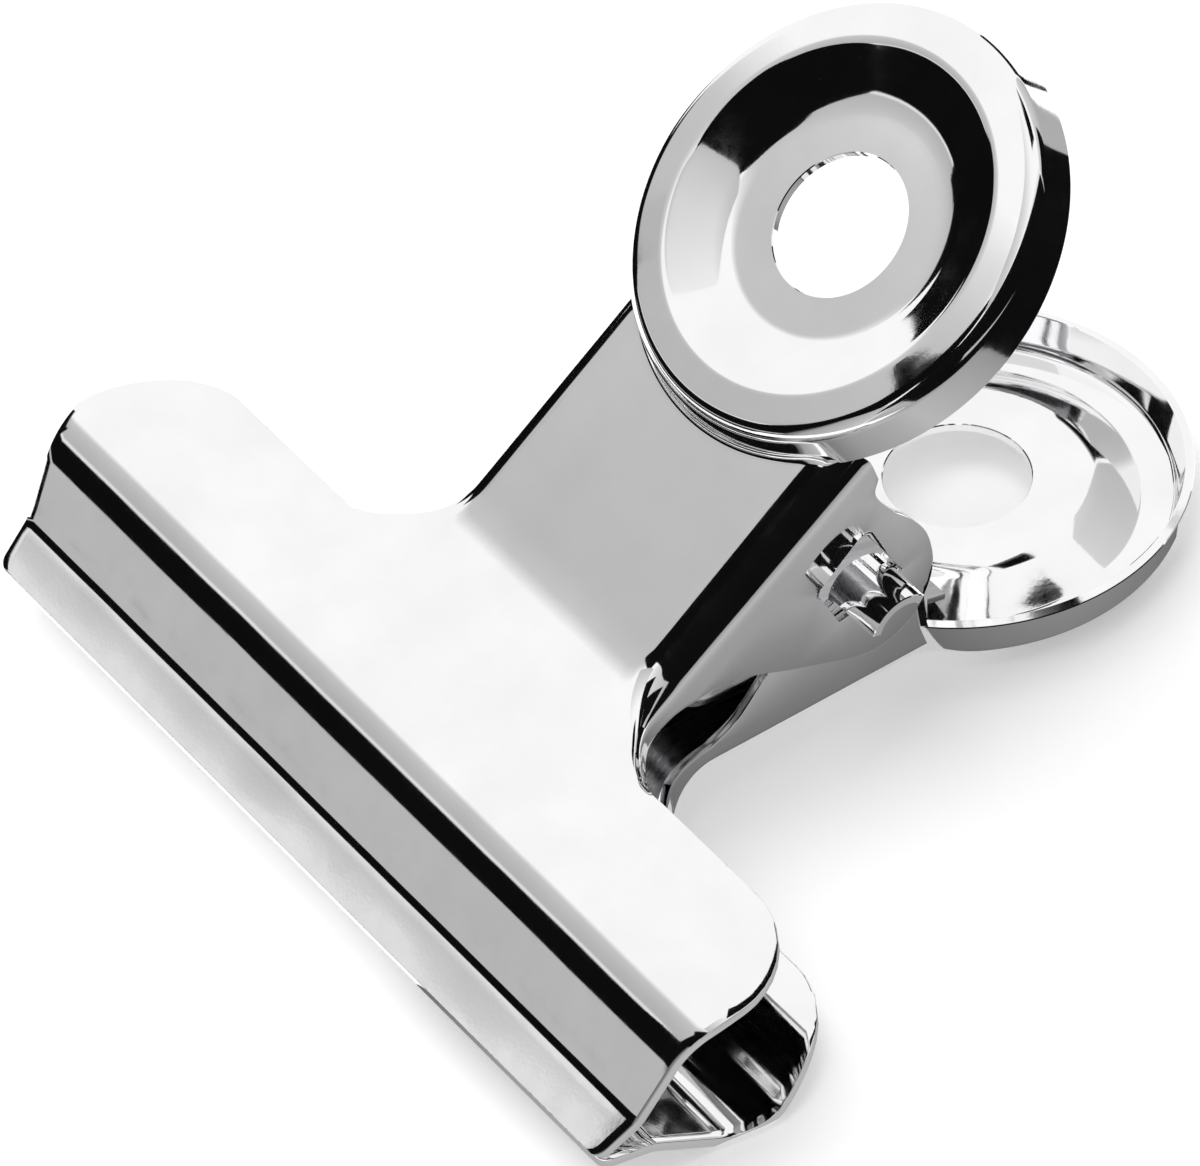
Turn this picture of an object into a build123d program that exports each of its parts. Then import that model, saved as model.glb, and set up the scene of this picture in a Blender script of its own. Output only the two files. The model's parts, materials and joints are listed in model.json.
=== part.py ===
import os
from math import sin, cos, tan, radians, degrees, hypot, atan2, asin, sqrt
from build123d import *

# driving sizes in millimetres, working frame: X along the mouth, Y from mouth to grips, Z up,
# the closed mouth line at y = 0 and z = 0
mouth_width = 51.0
sheet = 0.5
mouth_gap = 0.04

# section of a jaw, outer surface
lip_length = 2.6
lip_angle = 19.0
front_angle = 41.0
hump_height = 4.55
hump_radius = 4.2
back_angle = 20.0
valley_radius = 14.0
lower_valley_radius = 6.0
crease_radius = 0.3

# plan outline of a jaw
end_flare = 1.5
end_straight = 8.0
shoulder_y = 13.8
corner_radius = 5.6
mouth_corner = 0.7
inner_fillet = 5.0

# neck and its folded sides
neck_half = 8.75
side_play = 0.05
bend_radius = 2.0
lower_bend_radius = 1.3
neck_height = 7.4
neck_ref = 30.0
lower_neck_drop = 2.0
blend_y = 14.5
throat_lap = 0.05
throat_back = 1.0
neck_into_grip = 3.0

# grips
grip_tilt = 17.9
hole_y = 38.8
hole_z = 11.1
hole_radius = 3.73
dish_radius = 6.315
dish_bend = 3.0
brim_radius = 9.129
brim_height = 1.312
brim_bend = 1.0
crest_radius = 11.279
crest_height = 1.086
crest_bend = 1.0
skirt_radius = 11.85
skirt_lap = 0.084

# hinge
hinge_y = 29.35
hinge_z = -2.08
lug_radius = 1.93
lug_half_angle = 58.0
lug_reach = 2.6
hinge_play = 0.1
open_angle = 25.0
open_spare = 2.0

# longer than any piece, for cutting blocks
beyond = 40.0

# spring strip
strip = 0.35
strip_width = 13.6
loop_radius = 3.0
leg_gap = 0.785
knee_y = 28.2
knee_bend = 3.0
tip_y = 33.4
spring_play = 0.12


def pt(p):
    return Vector(0, p[0], p[1])


def line_angle(a, b):
    return atan2(b[1] - a[1], b[0] - a[0])


def meet(a, ang_a, b, ang_b):
    # crossing of two lines given by a point and a direction angle
    det = cos(ang_a) * sin(ang_b) - sin(ang_a) * cos(ang_b)
    k = ((b[0] - a[0]) * sin(ang_b) - (b[1] - a[1]) * cos(ang_b)) / det
    return (a[0] + k * cos(ang_a), a[1] + k * sin(ang_a))


def bent_path(pts, radii, off):
    # polyline with rounded corners, shifted by off to the left of its direction
    angs = [line_angle(a, b) for a, b in zip(pts[:-1], pts[1:])]
    shift = [(-sin(a) * off, cos(a) * off) for a in angs]
    base = [(p[0] + s[0], p[1] + s[1]) for p, s in zip(pts[:-1], shift)]
    corners = [base[0]]
    for i in range(1, len(angs)):
        corners.append(meet(base[i - 1], angs[i - 1], base[i], angs[i]))
    corners.append((pts[-1][0] + shift[-1][0], pts[-1][1] + shift[-1][1]))
    edges = []
    start = corners[0]
    for i in range(1, len(corners) - 1):
        turn = angs[i] - angs[i - 1]
        r = radii[i - 1] - off if turn > 0 else radii[i - 1] + off
        tl = r * tan(abs(turn) / 2)
        p1 = (corners[i][0] - tl * cos(angs[i - 1]), corners[i][1] - tl * sin(angs[i - 1]))
        p2 = (corners[i][0] + tl * cos(angs[i]), corners[i][1] + tl * sin(angs[i]))
        mid_ang = (angs[i - 1] + angs[i]) / 2
        side = 1 if turn > 0 else -1
        cen = (p1[0] - side * r * sin(angs[i - 1]), p1[1] + side * r * cos(angs[i - 1]))
        mid = (cen[0] + side * r * sin(mid_ang), cen[1] - side * r * cos(mid_ang))
        edges.append(Line(pt(start), pt(p1)))
        edges.append(ThreePointArc(pt(p1), pt(mid), pt(p2)))
        start = p2
    edges.append(Line(pt(start), pt(corners[-1])))
    return edges, corners[0], corners[-1]


def sheet_face(pts, radii, off):
    # closed strip between the path and its shifted copy
    out, a0, a1 = bent_path(pts, radii, 0.0)
    inn, b0, b1 = bent_path(pts, radii, off)
    return make_face(Wire(out + [Line(pt(a1), pt(b1))] + inn + [Line(pt(b0), pt(a0))]))


def under_face(pts, radii, off, floor):
    # everything below the shifted path down to a floor level
    path, a0, a1 = bent_path(pts, radii, off)
    low1 = (a1[0], floor)
    low0 = (a0[0], floor)
    return make_face(Wire(path + [Line(pt(a1), pt(low1)), Line(pt(low1), pt(low0)), Line(pt(low0), pt(a0))]))


def along_x(face, half):
    return extrude(face, amount=half, dir=(1, 0, 0), both=True)


def poly_yz(pts):
    return make_face(Polyline(*[pt(p) for p in pts], close=True))


def section_points(drop):
    # corner points of the outer section line: lip, crease, hump, valley, end of the neck
    lam = radians(lip_angle)
    front = radians(front_angle)
    back = radians(-back_angle)
    tilt = radians(grip_tilt)
    start = (-sheet * sin(lam), mouth_gap / 2 + sheet * cos(lam))
    crease = (start[0] + lip_length * cos(lam), start[1] + lip_length * sin(lam))
    # the hump arc is tangent to the front slope and reaches hump_height
    cz = hump_height - hump_radius
    along = (cz + hump_radius * cos(front) - crease[1]) / sin(front)
    tp = (crease[0] + along * cos(front), crease[1] + along * sin(front))
    cen = (tp[0] + hump_radius * sin(front), cz)
    tb = (cen[0] + hump_radius * sin(radians(back_angle)), cz + hump_radius * cos(back))
    hump = meet(tp, front, tb, back)
    neck = (neck_ref, neck_height + drop)
    valley = meet(tb, back, neck, tilt)
    far_y = hole_y - neck_into_grip + throat_back
    far = (far_y, neck[1] + (far_y - neck_ref) * tan(tilt))
    return [start, crease, hump, valley, far], cen


def jaw_outline():
    # plan outline of the wide front part with flared ends and rounded corners
    h = mouth_width / 2
    reach = sheet * sin(radians(lip_angle))
    slope = end_flare / end_straight
    x_front = h - slope * reach
    x_back = h + slope * shoulder_y
    pts = [(-x_front, -reach), (x_front, -reach), (x_back, shoulder_y), (-x_back, shoulder_y)]
    plate = make_face(Polyline(*[Vector(p[0], p[1], 0) for p in pts], close=True))
    plate = fillet([v for v in plate.vertices() if v.Y > shoulder_y / 2], corner_radius)
    return fillet([v for v in plate.vertices() if v.Y < 0.01], mouth_corner)


def neck_outline(half, grow, y0, y1):
    # plan outline of the neck, opening to the shoulders with round inner corners
    r = inner_fillet + grow
    cx = half + inner_fillet
    cy = shoulder_y + inner_fillet
    ya = max(y0, cy - r)
    x0 = cx - sqrt(max(r * r - (cy - ya) ** 2, 0.0))
    side = half - grow
    sweep = atan2(cy - ya, cx - x0) / 2
    mid = (cx - r * cos(sweep), cy - r * sin(sweep))
    right = [Line(Vector(side, y1, 0), Vector(side, cy, 0)),
             ThreePointArc(Vector(side, cy, 0), Vector(mid[0], mid[1], 0), Vector(x0, ya, 0))]
    left = [ThreePointArc(Vector(-x0, ya, 0), Vector(-mid[0], mid[1], 0), Vector(-side, cy, 0)),
            Line(Vector(-side, cy, 0), Vector(-side, y1, 0))]
    if ya > y0:
        right.append(Line(Vector(x0, ya, 0), Vector(x0, y0, 0)))
        left.insert(0, Line(Vector(-x0, y0, 0), Vector(-x0, ya, 0)))
    front = [Line(Vector(x0, y0, 0), Vector(-x0, y0, 0))]
    rear = [Line(Vector(-side, y1, 0), Vector(side, y1, 0))]
    return make_face(Wire(right + front + left + rear))


def along_z(face):
    return extrude(face, amount=beyond, dir=(0, 0, 1), both=True)


def neck_block(pts, radii, half, bend, grow, y0, y1):
    # solid block under the section with its two long top edges rounded
    block = along_x(under_face(pts, radii, -grow, -beyond / 2), beyond) & along_z(neck_outline(half, grow, y0, y1))
    block = block.solids()[0]
    picks = []
    for e in block.edges():
        m = e.position_at(0.5)
        t = e.tangent_at(0.5)
        if m.Z < 0.5 or abs(t.Z) > 0.7:
            continue
        if abs(m.Y - y0) < 0.01 or abs(m.Y - y1) < 0.01 or abs(m.X) < 1.0:
            continue
        picks.append(e)
    return fillet(picks, bend - grow).solids()[0]


def grip_frame():
    a = radians(grip_tilt)
    cen = Vector(0, hole_y, hole_z)
    return cen, Vector(0, cos(a), sin(a)), Vector(0, -sin(a), cos(a))


def grip_ring():
    # dished round grip: flat round the hole, dish wall, broad brim and skirt, turned about the hole axis
    cen, _, n = grip_frame()
    face = sheet_face(rim_path, [dish_bend, brim_bend, crest_bend], -sheet)
    face = Plane(origin=cen, x_dir=Vector(1, 0, 0), z_dir=n).location * face
    return revolve(face, axis=Axis(cen, n), revolution_arc=360)


def grip_core():
    # solid the neck must not enter: inside of the skirt's middle surface, above its free edge
    cen, _, n = grip_frame()
    mid = skirt_radius - sheet / 2
    lean = (skirt_radius - crest_radius) / (crest_height + skirt_drop)
    lo = -skirt_drop - throat_lap
    hi = 2 * crest_height + sheet
    pts = [(0.0, lo), (mid, lo), (mid - lean * (hi - lo), hi), (0.0, hi)]
    face = Plane(origin=cen, x_dir=Vector(1, 0, 0), z_dir=n).location * poly_yz(pts)
    return revolve(face, axis=Axis(cen, n), revolution_arc=360)


def hinge_disc(cz, r):
    # round bar along X about the hinge line
    return along_x(Plane(origin=(0, hinge_y, cz), x_dir=(0, 1, 0), z_dir=(1, 0, 0)) * Circle(r), beyond)


def hinge_wedge(cz, half_angle, up):
    # sector about the hinge line, opening upward or downward
    s, c = beyond * sin(half_angle), beyond * cos(half_angle)
    pts = [(0.0, 0.0), (-s, c * up), (-s, beyond * up), (s, beyond * up), (s, c * up)]
    return along_x(poly_yz([(hinge_y + p[0], cz + p[1]) for p in pts]), beyond)


def jaw_blank(half, drop, valley, bend, flange):
    # one pressed sheet: wide front, neck with folded sides, round grip
    pts, _ = section_points(drop)
    radii = [crease_radius, hump_radius, valley]
    full = along_x(sheet_face(pts, radii, -sheet), beyond)
    plate = full & along_z(jaw_outline())
    y1 = hole_y - neck_into_grip
    throat = full & along_z(neck_outline(half, 0.0, shoulder_y - throat_back, y1))
    throat = throat & Pos(0, blend_y + throat_lap - beyond, 0) * Box(2 * beyond, 2 * beyond, 2 * beyond)
    channel = neck_block(pts, radii, half, bend, 0.0, blend_y, y1)
    channel = channel - neck_block(pts, radii, half, bend, sheet, blend_y, y1)
    channel = channel & flange
    channel = channel - grip_core()
    return plate, throat, channel


# sizes that follow from the ones above
tilt = radians(grip_tilt)
lower_half = neck_half - sheet - side_play
neck_depth = (hole_z + (neck_ref - hole_y) * tan(tilt) - neck_height) * cos(tilt)
skirt_drop = neck_depth + sheet + skirt_lap
rim_path = [(hole_radius, 0.0), (dish_radius, 0.0), (brim_radius, brim_height), (crest_radius, crest_height),
            (skirt_radius, -skirt_drop)]

# folded side of the upper jaw: lower edge, ear round the hinge, rear edge up to the grip
ear = [(-5.35, -0.22), (-3.35, -1.82), (-1.95, -2.92), (-0.85, -3.42), (0.45, -3.52), (1.85, -3.02),
       (3.05, -1.92), (3.75, -0.52), (3.95, 1.28), (3.55, 2.88), (2.85, 4.38), (2.4, 6.18), (2.5, 7.48)]
above = [(37.0, 10.0), (37.0, 30.0), (10.0, 30.0)]
upper_edge = [(10.0, 1.2), (14.2, 1.9), (15.6, 1.75), (17.0, 1.2), (18.7, 0.7), (20.2, 0.4), (21.3, -0.1),
              (22.5, -1.0)]
upper_edge += [(hinge_y + y, hinge_z + z) for y, z in ear] + [(32.1, 8.0)] + above

# folded side of the lower jaw, before it is turned over: its upper edge is level beside the lug
level = [(-2.75, -0.93), (2.25, -0.93), (2.85, -0.08), (3.05, 1.92), (2.65, 3.92)]
lower_edge = [(10.0, 2.0), (14.2, 2.65), (16.0, 2.9), (18.0, 3.3), (19.4, 3.6), (20.7, 3.5), (22.8, 2.3),
              (25.0, 1.4)]
lower_edge += [(hinge_y + y, -hinge_z + z) for y, z in level] + [(32.1, 9.0)] + above

# window in the ear, about the hinge line
window_corners = [(-2.4, 3.08), (1.05, 4.53), (1.9, 0.78), (-2.1, 0.18)]
window_pts = [(hinge_y + y, hinge_z + z) for y, z in window_corners]

upper_flange = along_x(poly_yz(upper_edge), beyond)
lower_flange = along_x(poly_yz(lower_edge), beyond) + hinge_disc(-hinge_z, lug_radius)

# upper jaw
plate, throat, channel = jaw_blank(neck_half, 0.0, valley_radius, bend_radius, upper_flange)
upper = plate + throat + channel + grip_ring()

swing = radians(lug_half_angle + open_angle + open_spare)
tongue = hinge_disc(hinge_z, lug_radius - sheet - hinge_play)
pocket = (hinge_disc(hinge_z, lug_radius + hinge_play) - tongue) & hinge_wedge(hinge_z, swing, 1)
window = along_x(poly_yz(window_pts), beyond) - tongue
upper = upper - window - pocket

# lower jaw, built the same way round and turned over
plate, throat, channel = jaw_blank(lower_half, lower_neck_drop, lower_valley_radius, lower_bend_radius,
                                   lower_flange)
lower = plate + throat + channel + grip_ring()
lug = hinge_disc(-hinge_z, lug_radius) - hinge_disc(-hinge_z, lug_radius - sheet)
lug = lug & hinge_wedge(-hinge_z, radians(lug_half_angle), -1)
lug_x0 = lower_half - sheet
lug_x1 = neck_half + lug_reach
for side in (1, -1):
    span = Pos(side * (lug_x0 + lug_x1) / 2, hinge_y, 0) * Box(lug_x1 - lug_x0, beyond, beyond)
    lower = lower + (lug & span)
lower = mirror(lower, about=Plane.XY)

# spring: flat strip bent to a loop in front of the hinge with two legs bearing under the grips
# the loop's centre lies where its legs clear the upper neck by leg_gap
loop_room = loop_radius + strip / 2 + leg_gap + sheet
loop_y = neck_ref + (loop_room / cos(tilt) - neck_height) / tan(tilt)
touch = (loop_y - loop_radius * sin(tilt), loop_radius * cos(tilt))
knee = (knee_y, touch[1] + (knee_y - touch[0]) * tan(tilt))
floor_tip = hole_z + (tip_y - hole_y) * tan(tilt) - (sheet + strip / 2 + spring_play) / cos(tilt)
tip = (tip_y, floor_tip)
nose = meet(knee, tilt, (loop_y - loop_radius, 0.0), radians(90))
spring_path = [tip, knee, nose, (nose[0], -nose[1]), (knee[0], -knee[1]), (tip[0], -tip[1])]
spring_radii = [knee_bend, loop_radius, loop_radius, knee_bend]


def strip_face(path, radii, half):
    out, a0, a1 = bent_path(path, radii, half)
    inn, b0, b1 = bent_path(path, radii, -half)
    return make_face(Wire(out + [Line(pt(a1), pt(b1))] + inn + [Line(pt(b0), pt(a0))]))


spring = along_x(strip_face(spring_path, spring_radii, strip / 2), strip_width / 2)

# least gap of the strip to itself, measured on points of its middle line
mid_edges, _, _ = bent_path(spring_path, spring_radii, 0.0)
mid_wire = Wire(mid_edges)
count = 240
samples = [mid_wire.position_at(i / count) for i in range(count + 1)]
step = mid_wire.length / count
least = min((samples[i] - samples[j]).length for i in range(count + 1) for j in range(i)
            if (i - j) * step > 4 * loop_radius)
print("spring least gap to itself %.2f mm" % (least - strip))

# lying on a table: line under the lower hump and the rear of the lower brim
_, hump_c = section_points(0.0)
cen, v, n = grip_frame()
a_in = line_angle(rim_path[1], rim_path[2])
a_out = line_angle(rim_path[2], rim_path[3])
half_in = (radians(180) - (a_in - a_out)) / 2
to_cen = (a_in + a_out + radians(540)) / 2
rim_r = brim_radius + brim_bend / sin(half_in) * cos(to_cen)
rim_h = brim_height + brim_bend / sin(half_in) * sin(to_cen)
rim = cen + v * rim_r + n * rim_h
dy = rim.Y - hump_c[0]
dz = rim.Z - hump_c[1]
lie = atan2(dz, dy) - asin((hump_radius - brim_bend) / hypot(dy, dz))
print("lie angle %.3f degrees" % degrees(lie))

parts = {"lower_jaw": lower, "upper_jaw": upper, "spring": spring}
turned = {k: Rot(degrees(lie), 0, 0) * s for k, s in parts.items()}
boxes = [s.bounding_box() for s in turned.values()]
lo_y = min(b.min.Y for b in boxes)
hi_y = max(b.max.Y for b in boxes)
lo_z = min(b.min.Z for b in boxes)
shift = Pos(0, -(lo_y + hi_y) / 2, -lo_z)

os.makedirs("parts", exist_ok=True)
for name, shape in turned.items():
    placed = shift * shape
    solids = placed.solids()
    bb = placed.bounding_box()
    print(name, len(solids), "solid", "volume %.1f" % placed.volume, bb.min, bb.max)
    export_step(solids[0] if len(solids) == 1 else placed, "parts/%s.step" % name)


def to_row(p):
    q = shift * Rot(degrees(lie), 0, 0) * Pos(p[0], p[1], p[2])
    return q.position


print("hinge", to_row((0, hinge_y, hinge_z)))
print("upper hole", to_row((0, hole_y, hole_z)))
print("lower hole", to_row((0, hole_y, -hole_z)))
print("mouth", to_row((0, 0, 0)))
print("throat", to_row((0, 8.3, 0)))
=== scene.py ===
import json
from math import atan, cos, pi, radians, sin, sqrt, tan

import bmesh
import bpy
import numpy as np
from mathutils import Matrix, Vector
from mathutils.geometry import delaunay_2d_cdt


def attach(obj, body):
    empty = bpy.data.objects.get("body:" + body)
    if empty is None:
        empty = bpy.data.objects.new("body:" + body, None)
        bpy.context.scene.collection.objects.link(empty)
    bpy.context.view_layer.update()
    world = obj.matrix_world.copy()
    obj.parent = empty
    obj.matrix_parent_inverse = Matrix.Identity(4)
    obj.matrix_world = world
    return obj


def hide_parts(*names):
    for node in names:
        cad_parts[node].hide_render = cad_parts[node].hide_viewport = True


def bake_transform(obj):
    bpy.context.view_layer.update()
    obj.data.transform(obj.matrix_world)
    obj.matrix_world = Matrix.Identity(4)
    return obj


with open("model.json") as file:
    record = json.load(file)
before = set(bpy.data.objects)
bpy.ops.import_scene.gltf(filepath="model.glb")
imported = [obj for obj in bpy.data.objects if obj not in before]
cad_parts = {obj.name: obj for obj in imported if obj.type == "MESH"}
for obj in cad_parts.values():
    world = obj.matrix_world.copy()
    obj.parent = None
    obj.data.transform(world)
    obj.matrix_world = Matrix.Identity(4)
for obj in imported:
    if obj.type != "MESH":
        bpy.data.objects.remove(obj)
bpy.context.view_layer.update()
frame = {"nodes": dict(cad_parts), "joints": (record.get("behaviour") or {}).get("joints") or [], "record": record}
mm = 0.001
print("frame loaded:", sorted(frame["nodes"]))

# working frame in millimetres: x along the mouth, back = from mouth to grips, up = square to the closed mouth
hingeSpot = dict(back=29.35, up=-2.08)
mounts = {m["name"]: np.array(m["pos_m"], float) for m in frame["record"]["mounts"]}
upAxis = mounts["upper_grip_hole"] - mounts["lower_grip_hole"]
upAxis = upAxis / np.linalg.norm(upAxis)
backAxis = np.array([0.0, upAxis[2], -upAxis[1]])
hingeLine = np.array(frame["joints"][0]["pos_m"], float)
mouthLine = hingeLine - mm * (hingeSpot["back"] * backAxis + hingeSpot["up"] * upAxis)


def place(points):
    # metres in the shared frame = mouth line + x along X + back along its axis + up along its axis
    p = np.asarray(points, float).reshape(-1, 3) * mm
    return mouthLine + p[:, :1] * np.array([1.0, 0.0, 0.0]) + p[:, 1:2] * backAxis + p[:, 2:] * upAxis


def smoothStep(t):
    # 0 before 0, 1 after 1, and 3t^2 - 2t^3 between
    t = np.clip(t, 0.0, 1.0)
    return t * t * (3 - 2 * t)


def gridFaces(rows, cols, wrapRows=False, wrapCols=False, flip=False):
    # one four-sided face for each cell of a grid of points, numbered row by row
    r = np.arange(rows if wrapRows else rows - 1)
    c = np.arange(cols if wrapCols else cols - 1)
    r, c = np.meshgrid(r, c, indexing="ij")
    r2, c2 = (r + 1) % rows, (c + 1) % cols
    quads = np.stack([r * cols + c, r * cols + c2, r2 * cols + c2, r2 * cols + c], -1).reshape(-1, 4)
    return quads[:, ::-1] if flip else quads


def addShell(bm, points, faces):
    # points and faces of one surface go into the mesh being built
    mesh = bpy.data.meshes.new("shell")
    mesh.from_pydata(np.asarray(points).tolist(), [], [list(map(int, f)) for f in faces])
    bm.from_mesh(mesh)
    bpy.data.meshes.remove(mesh)


def roundedPath(corners, radii, arcStep=radians(3), runStep=1.0):
    # straight runs joined by arcs tangent to both; gives points and the normal to the left of the path
    c = np.asarray(corners, float)
    angles = np.arctan2(np.diff(c[:, 1]), np.diff(c[:, 0]))
    points, normals, start = [], [], c[0]
    for i, radius in enumerate(list(radii) + [0.0]):
        a0 = angles[i]
        last = i == len(angles) - 1
        turn = 0.0 if last else (angles[i + 1] - a0 + pi) % (2 * pi) - pi
        cut = radius * tan(abs(turn) / 2)
        end = c[i + 1] - cut * np.array([cos(a0), sin(a0)])
        steps = max(2, int(np.hypot(*(end - start)) / runStep) + 2)
        k = np.linspace(0, 1, steps)[:, None]
        points.append(start + k * (end - start))
        normals.append(np.repeat([[-sin(a0), cos(a0)]], steps, 0))
        if last:
            break
        side = np.sign(turn)
        centre = end + side * radius * np.array([-sin(a0), cos(a0)])
        a = a0 + turn * np.linspace(0, 1, max(3, int(abs(turn) / arcStep) + 2))[1:-1]
        points.append(centre + side * radius * np.stack([np.sin(a), -np.cos(a)], 1))
        normals.append(np.stack([-np.sin(a), np.cos(a)], 1))
        start = c[i + 1] + cut * np.array([cos(angles[i + 1]), sin(angles[i + 1])])
    return np.vstack(points), np.vstack(normals)


def softLine(points, steps=7):
    # smooth line through a few points, each span a cubic whose end slopes join its neighbours
    p = np.asarray(points, float)
    p = np.vstack([2 * p[0] - p[1], p, 2 * p[-1] - p[-2]])
    t = np.linspace(0, 1, steps, endpoint=False)[None, :, None]
    a, b, c, d = (p[i:len(p) - 3 + i][:, None] for i in range(4))
    line = 0.5 * (2 * b + (c - a) * t + (2 * a - 5 * b + 4 * c - d) * t ** 2
                  + (3 * b - a - 3 * c + d) * t ** 3)
    return np.vstack([line.reshape(-1, p.shape[1]), p[-2:-1]])


# sizes of the pressed sheet that both jaws share
sheet = dict(thick=0.5, mouthHalf=25.5, mouthGap=0.04, lipLength=2.6, lipAngle=19.0, frontAngle=41.0,
             humpHeight=4.55, humpRadius=4.2, backAngle=20.0, creaseRadius=1.3, flare=1.5 / 8.0,
             shoulder=13.8, cornerRadius=5.6, mouthCorner=0.7, throatRadius=5.0, foldBand=3.7,
             tightBend=0.62, bendShare=0.85, bendLeast=0.25, flangeLeast=0.2, depthLeast=1e-5,
             neckTilt=17.9, neckBack=30.0, neckUp=7.4, rearStart=1.2, rearRate=2.0)
# points along each part of a jaw's grids
gridSteps = dict(corner=9, lip=5, crease=7, front=6, hump=42, back=12, throat=73, neck=40, fillet=15,
                 across=45, wing=22, foldFlat=6, foldTurn=15, foldRest=5)
# round on cut edges in millimetres, its rows of faces, and the angles that make an edge cut or sharp
edgeRound = 0.05
edgeRows = 2
edgeAngle = 50.0
smoothAngle = 32.0
# points nearer than the first gap are one point where grids meet, and nearer than the second within a grid;
# the third is for the flat sides, in millimetres, and their triangles are kept only inside the cut line
joinGap = 2e-6
tinyGap = 1e-7
cutGap = 1e-6
keepInside = 1


def sectionOf(jaw):
    # outer section line: lip, crease arc, front slope, hump arc, back slope, valley arc, neck
    lip, front, back, tilt = (radians(sheet[k]) for k in ("lipAngle", "frontAngle", "backAngle", "neckTilt"))
    s = dict(lip=lip, front=front, back=back, tilt=tilt, valleyRadius=jaw["valley"])
    s["y0"] = -sheet["thick"] * sin(lip)
    s["z0"] = sheet["mouthGap"] / 2 + sheet["thick"] * cos(lip)
    cy, cz = s["y0"] + sheet["lipLength"] * cos(lip), s["z0"] + sheet["lipLength"] * sin(lip)
    cut = sheet["creaseRadius"] * tan((front - lip) / 2)
    s["creaseA"], s["creaseB"] = cy - cut * cos(lip), cy + cut * cos(front)
    s["creaseC"] = (s["creaseA"] - sheet["creaseRadius"] * sin(lip),
                    cz - cut * sin(lip) + sheet["creaseRadius"] * cos(lip))
    s["crease"] = (cy, cz)
    hz = sheet["humpHeight"] - sheet["humpRadius"]
    run = (hz + sheet["humpRadius"] * cos(front) - cz) / sin(front)
    s["humpA"] = cy + run * cos(front)
    hy = s["humpA"] + sheet["humpRadius"] * sin(front)
    s["humpC"] = (hy, hz)
    s["humpB"] = hy + sheet["humpRadius"] * sin(back)
    zb = hz + sheet["humpRadius"] * cos(back)
    s["backLine"] = (s["humpB"], zb)
    s["neckLine"] = (sheet["neckBack"], sheet["neckUp"] + jaw["lift"])
    rise = zb + tan(back) * s["humpB"] - s["neckLine"][1] + tan(tilt) * s["neckLine"][0]
    vy = rise / (tan(tilt) + tan(back))
    cut = jaw["valley"] * tan((back + tilt) / 2)
    s["valleyA"], s["valleyB"] = vy - cut * cos(back), vy + cut * cos(tilt)
    za = zb - tan(back) * (s["valleyA"] - s["humpB"])
    s["valleyC"] = (s["valleyA"] + jaw["valley"] * sin(back), za + jaw["valley"] * cos(back))
    return s


def heightAt(s, y):
    # height of the outer section line at each y: straight runs by slope, arcs by the circle's equation
    def arc(centre, radius, sign):
        return centre[1] + sign * np.sqrt(np.maximum(radius ** 2 - (y - centre[0]) ** 2, 0))
    return np.select(
        [y < s["creaseA"], y < s["creaseB"], y < s["humpA"], y < s["humpB"],
         y < s["valleyA"], y < s["valleyB"]],
        [s["z0"] + (y - s["y0"]) * tan(s["lip"]),
         arc(s["creaseC"], sheet["creaseRadius"], -1),
         s["crease"][1] + (y - s["crease"][0]) * tan(s["front"]),
         arc(s["humpC"], sheet["humpRadius"], 1),
         s["backLine"][1] - (y - s["backLine"][0]) * tan(s["back"]),
         arc(s["valleyC"], s["valleyRadius"], -1)],
        s["neckLine"][1] + (y - s["neckLine"][0]) * tan(s["tilt"]))


def endAt(s, y):
    # half width of the jaw front: flared end line with a round corner at the mouth and at the shoulder
    lean = atan(sheet["flare"])
    x = sheet["mouthHalf"] + sheet["flare"] * y
    for radius, cy, back in ((sheet["mouthCorner"], s["y0"] + sheet["mouthCorner"], False),
                             (sheet["cornerRadius"], sheet["shoulder"] - sheet["cornerRadius"], True)):
        cx = sheet["mouthHalf"] + sheet["flare"] * cy - radius / cos(lean)
        on = y > cy - radius * sin(lean) if back else y < cy - radius * sin(lean)
        x = np.where(on, cx + np.sqrt(np.maximum(radius ** 2 - (y - cy) ** 2, 0)), x)
    return x


def frontRows(s):
    # stations from the mouth edge to where the throat begins, close together on the bends
    n = gridSteps
    a = np.linspace(-s["front"], s["back"], n["hump"])
    hump = s["humpC"][0] + sheet["humpRadius"] * np.sin(a)
    stop = sheet["shoulder"] - sheet["foldBand"]
    parts = [s["y0"] + sheet["mouthCorner"] * np.linspace(0, 1, n["corner"]) ** 2,
             np.linspace(s["y0"] + sheet["mouthCorner"], s["creaseA"], n["lip"]),
             np.linspace(s["creaseA"], s["creaseB"], n["crease"]),
             np.linspace(s["creaseB"], s["humpA"], n["front"]),
             hump, np.linspace(s["humpB"], stop, n["back"])]
    return np.concatenate([parts[0]] + [p[1:] for p in parts[1:]])


def foldAcross(angle, flange, radius):
    # across a fold, from the flat to the free edge: distance in from the outline, and drop below the flat
    angle, flange, radius = angle[:, None], flange[:, None], radius[:, None]
    begin = radius * np.sin(angle) + flange * np.cos(angle)
    flat = np.linspace(0, 1, gridSteps["foldFlat"])
    turn = np.linspace(0, 1, gridSteps["foldTurn"])[1:]
    rest = np.linspace(0, 1, gridSteps["foldRest"])[1:]
    inFlat = sheet["foldBand"] + (begin - sheet["foldBand"]) * flat
    inTurn, dropTurn = begin - radius * np.sin(angle * turn), radius * (1 - np.cos(angle * turn))
    inRest = inTurn[:, -1:] - flange * rest * np.cos(angle)
    dropRest = dropTurn[:, -1:] + flange * rest * np.sin(angle)
    return np.hstack([inFlat, inTurn, inRest]), np.hstack([0 * inFlat, dropTurn, dropRest])


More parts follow.
